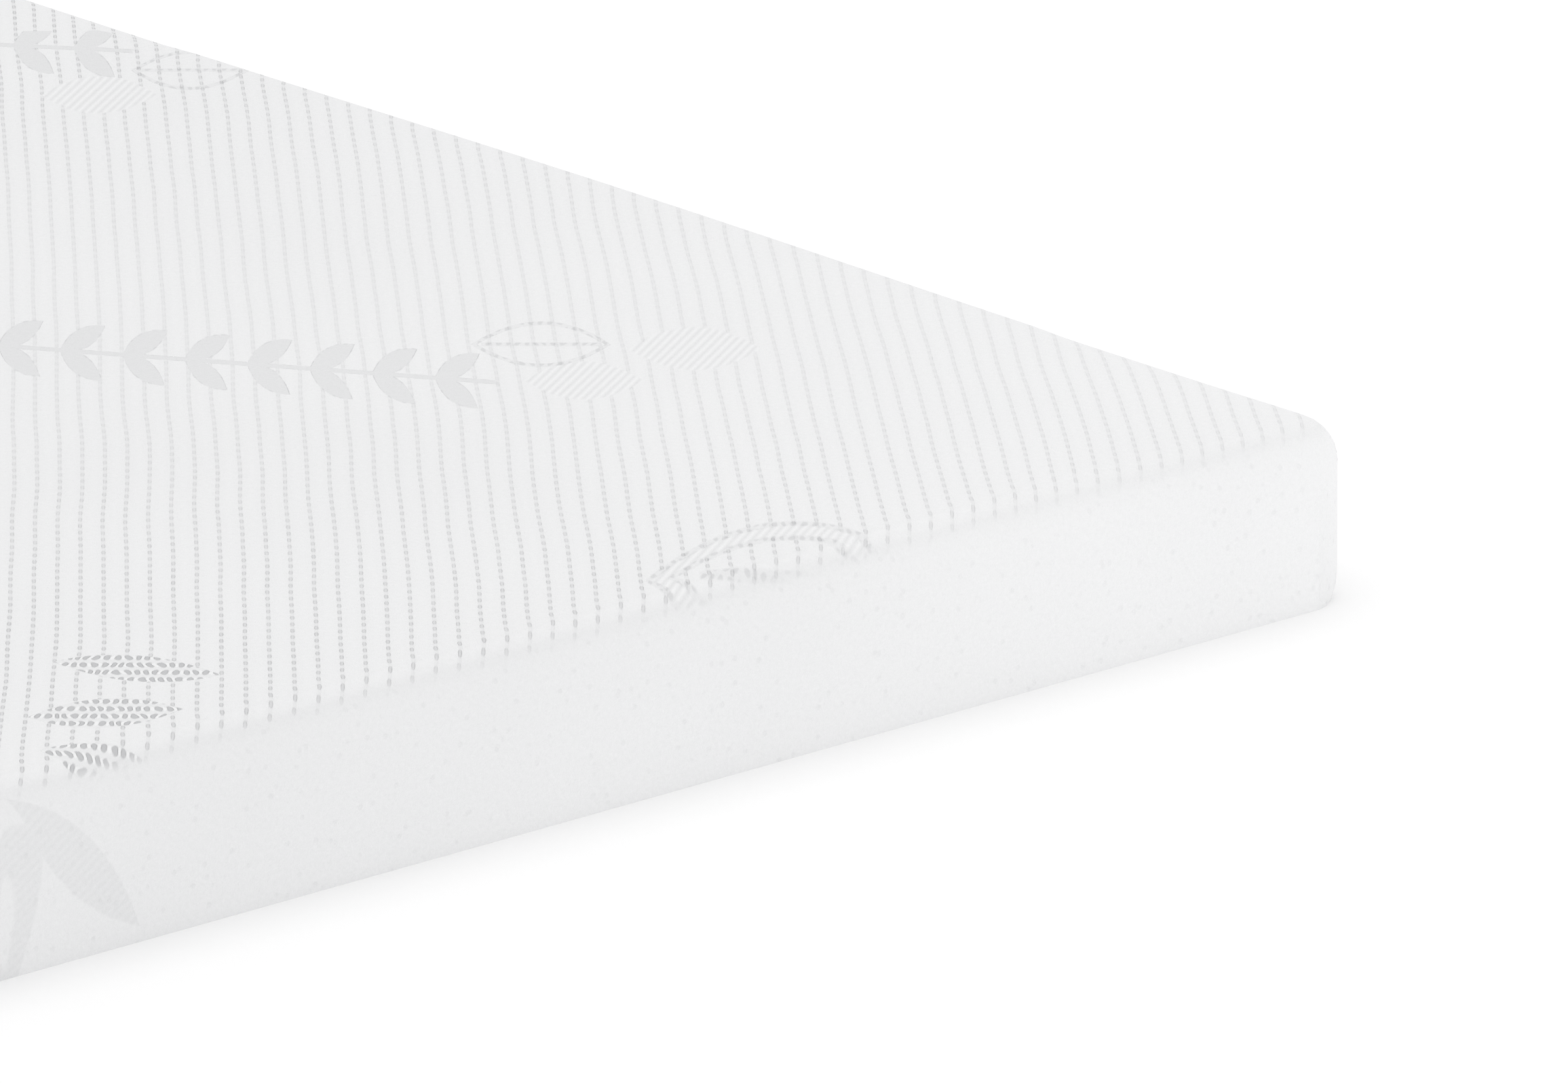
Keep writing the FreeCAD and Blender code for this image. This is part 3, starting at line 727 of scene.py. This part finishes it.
def pressed_out(corners, faces, rim):
    """Where each corner of a sheet goes in a short cloth simulation with pressure from inside."""
    mesh = bpy.data.meshes.new("puff")
    mesh.from_pydata(corners.tolist(), [], faces.tolist())
    sheet = add_object("puff", mesh)
    held = sheet.vertex_groups.new(name="held")
    held.add(rim.tolist(), 1.0, "REPLACE")
    cloth = sheet.modifiers.new("cloth", "CLOTH")
    cloth.settings.quality = 6
    cloth.settings.mass = 0.4
    cloth.settings.tension_stiffness = 40
    cloth.settings.compression_stiffness = 40
    cloth.settings.bending_stiffness = 2
    cloth.settings.use_pressure = True
    cloth.settings.uniform_pressure_force = 4
    cloth.settings.vertex_group_mass = "held"
    cloth.settings.effector_weights.gravity = 0
    cloth.collision_settings.use_collision = False
    scene = bpy.context.scene
    for moment in range(1, PUFF_FRAMES + 1):
        scene.frame_set(moment)
    graph = bpy.context.evaluated_depsgraph_get()
    settled = sheet.evaluated_get(graph).to_mesh()
    moved = np.empty(corners.size)
    settled.vertices.foreach_get("co", moved)
    scene.frame_set(1)
    bpy.data.objects.remove(sheet)
    bpy.data.meshes.remove(mesh)
    return moved.reshape(-1, 3)


def puffed(shape):
    """How far the foam presses the cloth out, on a coarse sheet."""
    outward = join_lines(
        np.linspace(0, shape.edge_start, 2),
        np.linspace(shape.edge_start, shape.wall_start, 5),
        np.linspace(shape.wall_start, shape.wall_end, 5),
        np.array([shape.turn_end, shape.end]),
    )
    lines_x, lines_y = block_lines(shape.core, outward, COARSE_STEP)
    points, _ = wrap(lines_x, lines_y, shape.core, shape.at)
    corners = points.reshape(-1, 3)
    number = np.arange(len(corners)).reshape(points.shape[:2])
    rim = np.unique(np.concatenate([number[0], number[-1], number[:, 0], number[:, -1]]))
    moved = pressed_out(corners, grid_faces(len(lines_x), len(lines_y)), rim)
    shift = (moved - corners).reshape(points.shape)
    spine = np.clip(points, -shape.core, shape.core)
    spine[..., 2] = np.clip(points[..., 2], shape.low + shape.bottom, shape.high - shape.top)
    away = points - spine
    away /= np.maximum(np.linalg.norm(away, axis=-1, keepdims=True), 1e-9)
    swell = np.clip(np.sum(shift * away, axis=-1, keepdims=True), 0, None)
    return lines_x, lines_y, away * PUFF_LIMIT * np.tanh(swell / PUFF_LIMIT)


def between(lines_x, lines_y, values, at_x, at_y):
    """Values on a coarse grid, read at the crossings of finer grid lines."""
    columns = np.apply_along_axis(lambda row: np.interp(at_x, lines_x, row), 0, values)
    return np.apply_along_axis(lambda row: np.interp(at_y, lines_y, row), 1, columns)


def unevenness(points):
    """Slow ups and downs of a soft block, as a height for each point."""
    total = np.zeros(points.shape[:2])
    for _ in range(10):
        angle = random.uniform(0, 2 * math.pi)
        waves = random.uniform(2.5, 9.0)
        phase = random.uniform(0, 2 * math.pi)
        place = points[..., 0] * math.cos(angle) + points[..., 1] * math.sin(angle)
        total += np.sin(place * waves * 2 + phase)
    return UNEVENNESS * total / 3


def rib_coordinates(cloth, corner):
    """Coordinates across and along the ribs, with the slight bow that stretched cloth has."""
    start = corner + PATTERN_FROM_CORNER
    x = cloth[..., 0] - start.x
    y = cloth[..., 1] - start.y
    across = x * math.cos(RIB_ANGLE) + y * math.sin(RIB_ANGLE)
    along = y * math.cos(RIB_ANGLE) - x * math.sin(RIB_ANGLE)
    # The ribs lean over, and their lean grows across and along them.
    lean, lean_across, lean_along = 0.061, 0.161, 0.061
    bow = (lean + lean_across * np.clip(across, -0.45, 0.3)) * along + lean_along * along * along / 2
    return across, along, across + bow


def store(mesh, name, values):
    """Keeps three numbers for each point, where the material reads them."""
    layer = mesh.attributes.new(name, "FLOAT_VECTOR", "POINT")
    layer.data.foreach_set("vector", values.reshape(-1).astype(np.float32))


def tuck_corners(points, cloth, shape):
    """Draws the lower corners in a little."""
    inner = shape.core.xy
    turn = np.abs(cloth[..., :2] - np.clip(cloth[..., :2], -inner, inner))
    in_corner = np.sin(2 * np.arctan2(turn[..., 1], turn[..., 0]))
    tuck = CORNER_TUCK * in_corner * np.clip(1 - points[..., 2] / CORNER_TUCK_HEIGHT, 0, 1) ** 2
    middle = np.clip(points[..., :2], -inner, inner)
    points[..., :2] += (middle - points[..., :2]) * (tuck / CORNER_RADIUS)[..., None]


def cells_beside_slot(lines_x, lines_y, shape, slot_low, slot_high):
    """Which cells of the cover's grid stay: all but those of the slot in the side at +Y."""
    middle_x = (lines_x[1:] + lines_x[:-1]) / 2
    back = (lines_y[1:] + lines_y[:-1]) / 2 - shape.core.y
    in_length = (middle_x > slot_low.x) & (middle_x < slot_high.x)
    in_height = (back > shape.wall_distance(slot_high.z)) & (back < shape.wall_distance(slot_low.z))
    return ~(in_length[:, None] & in_height[None, :])


def make_cover(material):
    """Top and sides in one piece of cloth, with the slot for the zip."""
    low, high = size_of("cover_shell")
    shape = Profile(low, high, CORNER_RADIUS, TOP_RADIUS, BOTTOM_RADIUS, LIP_WIDTH)
    slot_low, slot_high = slot_corners()
    lines_x, lines_y = cover_lines(shape, slot_low, slot_high)
    points, cloth = wrap(lines_x, lines_y, shape.core, shape.at)
    distance = cloth[..., 2]
    soft = between(*puffed(shape), lines_x, lines_y)
    loose = np.clip((shape.wall_end - distance) / (shape.wall_end - shape.wall_start), 0, 1)
    to_corner = np.hypot(high.x - np.abs(points[..., 0]), high.y - np.abs(points[..., 1]))
    firm_corner = np.clip(to_corner / FIRM_CORNER, 0, 1) ** 2
    soft = soft * (loose * firm_corner)[..., None]
    soft[..., 2] += unevenness(points) * loose
    points = points + soft
    tuck_corners(points, cloth, shape)

    keep = cells_beside_slot(lines_x, lines_y, shape, slot_low, slot_high)
    faces = grid_faces(len(lines_x), len(lines_y), keep)
    used = np.unique(faces)
    renumber = np.zeros(len(lines_x) * len(lines_y), int)
    renumber[used] = np.arange(len(used))
    corners = points.reshape(-1, 3)[used]
    piece = new_piece("cover_knit", corners, renumber[faces], "cover_shell", material)

    # The ribs fade out where the cloth turns over the edge.
    across, along, rib = rib_coordinates(cloth, Vector((high.x, low.y)))
    fade_start, fade_end = shape.edge_start + 0.004, shape.edge_start + 0.016
    fade = np.clip((fade_end - distance) / (fade_end - fade_start), 0, 1)
    topness = fade * fade * (3 - 2 * fade)
    store(piece.data, "cloth", np.stack([rib, along, topness], axis=-1).reshape(-1, 3)[used])
    store(piece.data, "plan", np.stack([across, along, topness], axis=-1).reshape(-1, 3)[used])

    # The cloth is pressed thinner where it turns in underneath, so its inside stays round there too.
    from_turn = np.maximum(shape.wall_end - distance, distance - shape.turn_end).clip(0)
    share = np.clip((BOTTOM_RADIUS * 0.8 + from_turn / 2) / CLOTH_THICKNESS, 0, 1)
    share = share.reshape(-1)[used].round(3)
    thick = piece.vertex_groups.new(name="thick")
    for value in np.unique(share):
        thick.add(np.flatnonzero(share == value).tolist(), float(value), "REPLACE")
    thicken(piece, CLOTH_THICKNESS).vertex_group = "thick"
    return piece


def make_base(material):
    """Flat woven panel underneath."""
    low, high = size_of("cover_base")
    corner = CORNER_RADIUS - BOTTOM_RADIUS - LIP_WIDTH
    core = (high - low) / 2 - Vector((corner, corner, 0))

    def flat(distance):
        return distance, np.full_like(distance, high.z)

    lines_x, lines_y = block_lines(core, np.linspace(0, corner, 5), BLOCK_STEP)
    points, _ = wrap(lines_x, lines_y, core, flat)
    faces = grid_faces(len(lines_x), len(lines_y))
    piece = new_piece(
        "base_panel", points, faces, "cover_base", material, smooth=False
    )
    thicken(piece, high.z - low.z)
    return piece


def make_soft_block(name, node, material, corner, top, bottom):
    """A block with rounded edges in a node's box."""
    low, high = size_of(node)
    points, faces = slab(low, high, corner, top, bottom)
    piece = new_piece(name, points, faces, node, material)
    weld(piece.data)
    return piece


# ---------------- sewing

def stitches(name, node, material, centres, along, up, length, radius):
    """Many short stitches in one mesh. Each rises from the cloth, lies along it and dips back."""
    sides, stations = 6, 5
    reach = np.linspace(-0.5, 0.5, stations)
    rise = np.array([-1.0, 0.35, 0.6, 0.35, -1.0]) * radius
    girth = np.array([0.55, 0.95, 1.0, 0.95, 0.55]) * radius
    turn = np.arange(sides) * 2 * math.pi / sides
    centres = np.asarray(centres, float)
    along, up = (np.broadcast_to(way, centres.shape) for way in (along, up))
    across = np.cross(up, along)
    ring_up = np.sin(turn)[None, :] * girth[:, None] + rise[:, None]
    ring_across = np.cos(turn)[None, :] * girth[:, None]
    ring_along = np.repeat((reach * length)[:, None], sides, axis=1)
    points = (
        centres[:, None, None, :]
        + along[:, None, None, :] * ring_along[None, :, :, None]
        + up[:, None, None, :] * ring_up[None, :, :, None]
        + across[:, None, None, :] * ring_across[None, :, :, None]
    )
    faces = repeated(tube_faces(stations, sides), stations * sides, len(centres))
    return new_piece(name, points, faces, node, material)


def make_top_stitching(node, material):
    """A straight row of lockstitch on the back side."""
    low, high = size_of(node)
    stitch, gap = 0.0032, 0.0008
    count = int((high.x - low.x) / (stitch + gap))
    x = low.x + (np.arange(count) + 0.5) * (high.x - low.x) / count
    centres = places(x, low.y + OFF_PLANE, (low.z + high.z) / 2)
    name = node + "_row"
    return stitches(name, node, material, centres, ALONG_X, ALONG_Y, length=stitch, radius=0.00028)


def make_bartacks(material):
    """Close zigzag bars of thread across the ends of the slot."""
    node = "zip_bartacks"
    low, high = size_of(node)
    width, margin = 0.0024, 0.0006
    z = np.linspace(low.z + margin, high.z - margin, 22)
    centres, along = [], []
    for start in (low.x, high.x - width):
        for index, height in enumerate(z):
            lean = 0.35 if index % 2 else -0.35
            centres.append((start + width / 2, low.y + OFF_PLANE, height))
            along.append((math.cos(lean), 0, math.sin(lean)))
    return stitches(
        "bartack_bars", node, material, centres, along, ALONG_Y, length=width, radius=0.00030
    )


def ring_points(half_x, half_y, radius, spacing):
    """Evenly spaced points round a rounded rectangle, and the direction of the ring at each."""
    straight_x, straight_y = 2 * (half_x - radius), 2 * (half_y - radius)
    arc = radius * math.pi / 2
    whole = 2 * (straight_x + straight_y) + 4 * arc
    count = int(whole / spacing)
    points, ways = [], []
    for number in range(count):
        left = whole * number / count
        for quarter in range(4):
            straight = straight_x if quarter % 2 == 0 else straight_y
            heading = quarter * math.pi / 2
            way = np.array([math.cos(heading), math.sin(heading)])
            outward = np.array([way[1], -way[0]])
            side_half = half_y if quarter % 2 == 0 else half_x
            if left <= straight:
                points.append(outward * side_half + way * (left - straight / 2))
                ways.append(way)
                break
            left -= straight
            if left <= arc:
                turn = left / radius
                centre = outward * (side_half - radius) + way * (straight / 2)
                points.append(centre + radius * (outward * math.cos(turn) + way * math.sin(turn)))
                ways.append(way * math.cos(turn) - outward * math.sin(turn))
                break
            left -= arc
    return np.array(points), np.array(ways)


def make_base_seam(material):
    """Overlock stitches, slanting across the seam between the lip and the base panel."""
    node = "base_seam_thread"
    low, high = size_of(node)
    corner = CORNER_RADIUS - BOTTOM_RADIUS - LIP_WIDTH
    inset, spacing, slant = 0.0006, 0.0042, 0.6
    ring, ways = ring_points(high.x - inset, high.y - inset, corner, spacing)
    side = np.stack([ways[:, 1], -ways[:, 0]], axis=-1)
    direction = ways * math.cos(slant) + side * math.sin(slant)
    centres = places(*ring.T, (low.z + high.z) / 2)
    along = places(*direction.T, 0.0)
    down = (0.0, 0.0, -1.0)
    return stitches(
        "base_overlock", node, material, centres, along, down, length=0.0040, radius=0.00032
    )


def make_liner_seam(material):
    """Chain stitches that close the liner across one end."""
    node = "liner_seam_thread"
    low, high = size_of(node)
    spacing, margin = 0.005, 0.002
    y = np.linspace(low.y + margin, high.y - margin, int((high.y - low.y) / spacing))
    centres = places(high.x - OFF_PLANE, y, (low.z + high.z) / 2)
    inwards = (-1.0, 0.0, 0.0)
    return stitches(
        "liner_chain", node, material, centres, ALONG_Y, inwards, length=0.0042, radius=0.00025
    )


def make_label(cloth, thread):
    """Blank label: a thin ribbon with a slight lift between its two seams."""
    low, high = size_of("care_label")
    ribbon, lifted, margin, half_seam = 0.0004, 0.0006, 0.002, 0.00025
    x, z = np.linspace(low.x, high.x, 33), np.linspace(low.z, high.z, 15)
    grid_x, grid_z = np.meshgrid(x, z, indexing="ij")
    across = (grid_x - low.x) / (high.x - low.x)
    lift = lifted * np.sin(across * math.pi) ** 0.5 * (0.8 + 0.2 * np.sin(grid_z * 300 + across * 9))
    points = places(grid_x, low.y + 0.0005 + lift, grid_z)
    faces = grid_faces(len(x), len(z))[:, ::-1]
    label = new_piece("label_ribbon", points, faces, "care_label", cloth)
    thicken(label, ribbon)
    node = "care_label_thread"
    seam_low, seam_high = size_of(node)
    centres = [
        (place, high.y + 0.0004, height)
        for place in (seam_low.x + half_seam, seam_high.x - half_seam)
        for height in np.linspace(low.z + margin, high.z - margin, 8)
    ]
    stitches("label_seams", node, thread, centres, ALONG_Z, ALONG_Y, length=0.0024, radius=0.00022)
    return label


# ---------------- zip

def make_tape(node, material, upward):
    """Woven tape with a thicker cord along the edge that carries the teeth."""
    low, high = size_of(node)
    near, far = (low.z, high.z) if upward else (high.z, low.z)
    way = 1 if upward else -1
    near = near - way * TAPE_REACH
    front, back = high.y, low.y
    section = [
        (front - 0.0001, near),
        (front, near + way * 0.0006),
        (front, near + way * 0.0018),
        (front - 0.00015, near + way * 0.0026),
        (front - 0.0001, (near + far) / 2),
        (front - 0.0001, far - way * 0.0008),
        (front - 0.0004, far),
        (back + 0.0001, far - way * 0.0008),
        (back + 0.0001, (near + far) / 2),
        (back + 0.0001, near + way * 0.0026),
        (back, near + way * 0.0018),
        (back, near + way * 0.0006),
    ]
    stations = steps(low.x, high.x, 0.010)
    points = [(x, y, z) for x in stations for y, z in section]
    faces = tube_faces(len(stations), len(section))
    if not upward:
        faces = [face[::-1] for face in faces]
    return new_piece(node + "_woven", points, faces, node, material)


def tooth_template():
    """One moulded tooth in its own frame: x along the zip, y outwards, z from the root to the head.

    The head ends short of the middle of the chain, which leaves room for the slider's post.
    """
    right = [
        (0.00100, 0.0), (0.00096, 0.0009), (0.00056, 0.0012), (0.00056, 0.0015),
        (0.00090, 0.0018), (0.00086, 0.0024), (0.00050, 0.0027),
    ]
    left = [(-x, z) for x, z in reversed(right)]
    outline = left[-1:] + right + left[:-1]
    thickness, rounding = 0.0022, 0.00016
    shape = bmesh.new()
    front = shape.faces.new([shape.verts.new((x, 0, z)) for x, z in outline])
    grown = bmesh.ops.extrude_face_region(shape, geom=[front])
    moved = [item for item in grown["geom"] if isinstance(item, bmesh.types.BMVert)]
    bmesh.ops.translate(shape, verts=moved, vec=(0, thickness, 0))
    bmesh.ops.recalc_face_normals(shape, faces=shape.faces)
    rims = [edge for edge in shape.edges if abs(edge.verts[0].co.y - edge.verts[1].co.y) < 1e-7]
    bmesh.ops.bevel(shape, geom=rims, offset=rounding, segments=1, affect="EDGES")
    shape.verts.index_update()
    points = np.array([vertex.co[:] for vertex in shape.verts])
    faces = [[vertex.index for vertex in face.verts] for face in shape.faces]
    shape.free()
    return points, faces


def make_teeth(node, material, upward):
    """A row of teeth, half a pitch along from the other row."""
    low, high = size_of(node)
    tooth, tooth_faces = tooth_template()
    count = int((high.x - low.x) / ZIP_PITCH)
    start = low.x + ZIP_PITCH * (0.5 if upward else 1.0)
    root = high.z if upward else low.z
    way = -1 if upward else 1
    shifts = places(start + np.arange(count) * ZIP_PITCH, low.y + OFF_PLANE, root)
    points = tooth * np.array([1, 1, way]) + shifts[:, None]
    if upward:
        tooth_faces = [face[::-1] for face in tooth_faces]
    faces = repeated(tooth_faces, len(tooth), count)
    return new_piece(node + "_moulded", points, faces, node, material, smooth=False)


def slim_post(mesh):
    """Narrows the slider's post, the only part of it close to the middle of the chain."""
    low, high = size_of("zip_slider")
    middle = (low.z + high.z) / 2
    for vertex in mesh.vertices:
        if abs(vertex.co.z - middle) < 0.0005:
            vertex.co.z = middle + (vertex.co.z - middle) * POST_SHARE


def soften_cad_piece(node, material, body, width, reshape=None):
    """A copy of a hard CAD piece with its sharp edges rounded off."""
    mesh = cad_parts[node].data.copy()
    weld(mesh, 1e-5, math.radians(1))
    if reshape:
        reshape(mesh)
    piece = dress(node + "_rounded", mesh, node, material, body, True)
    rounding = piece.modifiers.new("rounding", "BEVEL")
    rounding.width = width
    rounding.segments = 2
    rounding.limit_method = "ANGLE"
    rounding.angle_limit = math.radians(35)
    piece.modifiers.new("normals", "WEIGHTED_NORMAL")
    return piece


# ---------------- studio

def make_floor():
    """Plain white floor with a painted contact shadow close to what stands on it, and a faint glow.
    """
    half = 40.0
    level = cad_low.z + FLOOR_PRESS
    mesh = bpy.data.meshes.new("floor")
    corners = [(-half, -half, level), (half, -half, level), (half, half, level), (-half, half, level)]
    mesh.from_pydata(corners, [], [(0, 1, 2, 3)])
    floor = add_object("floor", mesh)
    surface = Surface("floor_white", roughness=0.9, specular=0.0)
    # Painted contact shadow: the floor's colour is darker where ambient occlusion finds something
    # close by.
    openness = surface.tree.nodes.new("ShaderNodeAmbientOcclusion")
    openness.samples = 16
    openness.inputs["Distance"].default_value = FLOOR_SHADOW
    surface.paint(Field(surface.tree, openness.outputs["AO"]), FLOOR_SHADED, FLOOR_OPEN)
    # Painted light: the floor glows faintly, though it is no lamp, and lights the crease under the
    # cover.
    surface.shader.inputs["Emission Color"].default_value = (1, 1, 1, 1)
    surface.shader.inputs["Emission Strength"].default_value = FLOOR_GLOW
    mesh.materials.append(surface.material)


def make_light():
    """Even white light from everywhere, and one soft lamp low in front of the corner."""
    world = bpy.data.worlds.new("studio")
    bpy.context.scene.world = world
    world.use_nodes = True
    background = world.node_tree.nodes["Background"]
    background.inputs["Color"].default_value = (1.0, 1.0, 1.0, 1)
    background.inputs["Strength"].default_value = WORLD_LIGHT
    lamp = bpy.data.lights.new("soft_lamp", "AREA")
    lamp.shape = "DISK"
    lamp.size = 1.0
    lamp.energy = LAMP_POWER
    holder = add_object("soft_lamp", lamp)
    holder.location = LAMP_PLACE
    holder.rotation_euler = (LAMP_AIM - LAMP_PLACE).to_track_quat("-Z", "Y").to_euler()
    holder.visible_camera = False


def make_camera():
    """Aimed at the pattern's origin, on the top near the corner at +X and -Y."""
    camera = bpy.data.cameras.new("camera")
    camera.sensor_width = SENSOR_WIDTH
    camera.lens = CAMERA_LENS
    holder = add_object("camera", camera)
    low, high = size_of("cover_shell")
    target = Vector((high.x, low.y, high.z)) + Vector((*PATTERN_FROM_CORNER, 0))
    level, rise = math.cos(CAMERA_ELEVATION), math.sin(CAMERA_ELEVATION)
    back = Vector((math.sin(CAMERA_AZIMUTH) * level, -math.cos(CAMERA_AZIMUTH) * level, rise))
    distance = CAMERA_WIDTH * CAMERA_LENS / SENSOR_WIDTH
    holder.location = target + back * distance
    holder.rotation_mode = "QUATERNION"
    holder.rotation_quaternion = (-back).to_track_quat("-Z", "Y")
    camera.clip_start = 0.1
    camera.clip_end = 200.0
    bpy.context.scene.camera = holder


def set_view():
    """Colours are shown as they are."""
    scene = bpy.context.scene
    scene.view_settings.view_transform = "Standard"
    scene.view_settings.look = "None"


# ---------------- the mattress

knit = knit_material()
thread = thread_material()
metal = metal_material()
nylon = nylon_material()
tape_cloth = woven_material("zip_tape_cloth", (0.78, 0.78, 0.78), (0.60, 0.60, 0.61), 0.0006)
base_cloth = woven_material("base_weave", (0.78, 0.78, 0.785), (0.62, 0.62, 0.63), 0.0012)
liner_cloth = woven_material("liner_knit", (0.76, 0.76, 0.74), (0.62, 0.62, 0.60), 0.0010)
memory_foam = foam_material("memory_foam", (0.86, 0.82, 0.66), (0.74, 0.69, 0.52), 0.0012)
support_foam = foam_material("support_foam", (0.72, 0.77, 0.82), (0.58, 0.64, 0.70), 0.0016)

make_cover(knit)
make_base(base_cloth)
make_base_seam(thread)
liner = make_soft_block(
    "liner_sock", "inner_liner", liner_cloth, LINER_CORNER, top=0.013, bottom=0.005
)
thicken(liner, LINER_THICKNESS)
make_liner_seam(thread)
for name, node, material, top, bottom in (
    ("memory_slab", "memory_foam_layer", memory_foam, 0.012, 0.0005),
    ("support_slab", "support_foam_layer", support_foam, 0.0005, 0.004),
):
    block = make_soft_block(name, node, material, FOAM_CORNER, top, bottom)
for side, upward in (("upper", True), ("lower", False)):
    make_tape(f"zip_tape_{side}", tape_cloth, upward)
    make_teeth(f"zip_teeth_{side}", nylon, upward)
    make_top_stitching(f"zip_stitch_{side}", thread)
make_bartacks(thread)
make_label(satin_material(), thread)
soften_cad_piece("zip_top_stops", metal, "root", 0.0004)
soften_cad_piece("zip_bottom_stop", metal, "root", 0.0004)
soften_cad_piece("zip_slider", metal, "zip_slider", 0.00022, slim_post)
soften_cad_piece("zip_puller", metal, "zip_puller", 0.0003)

make_floor()
make_light()
make_camera()
set_view()
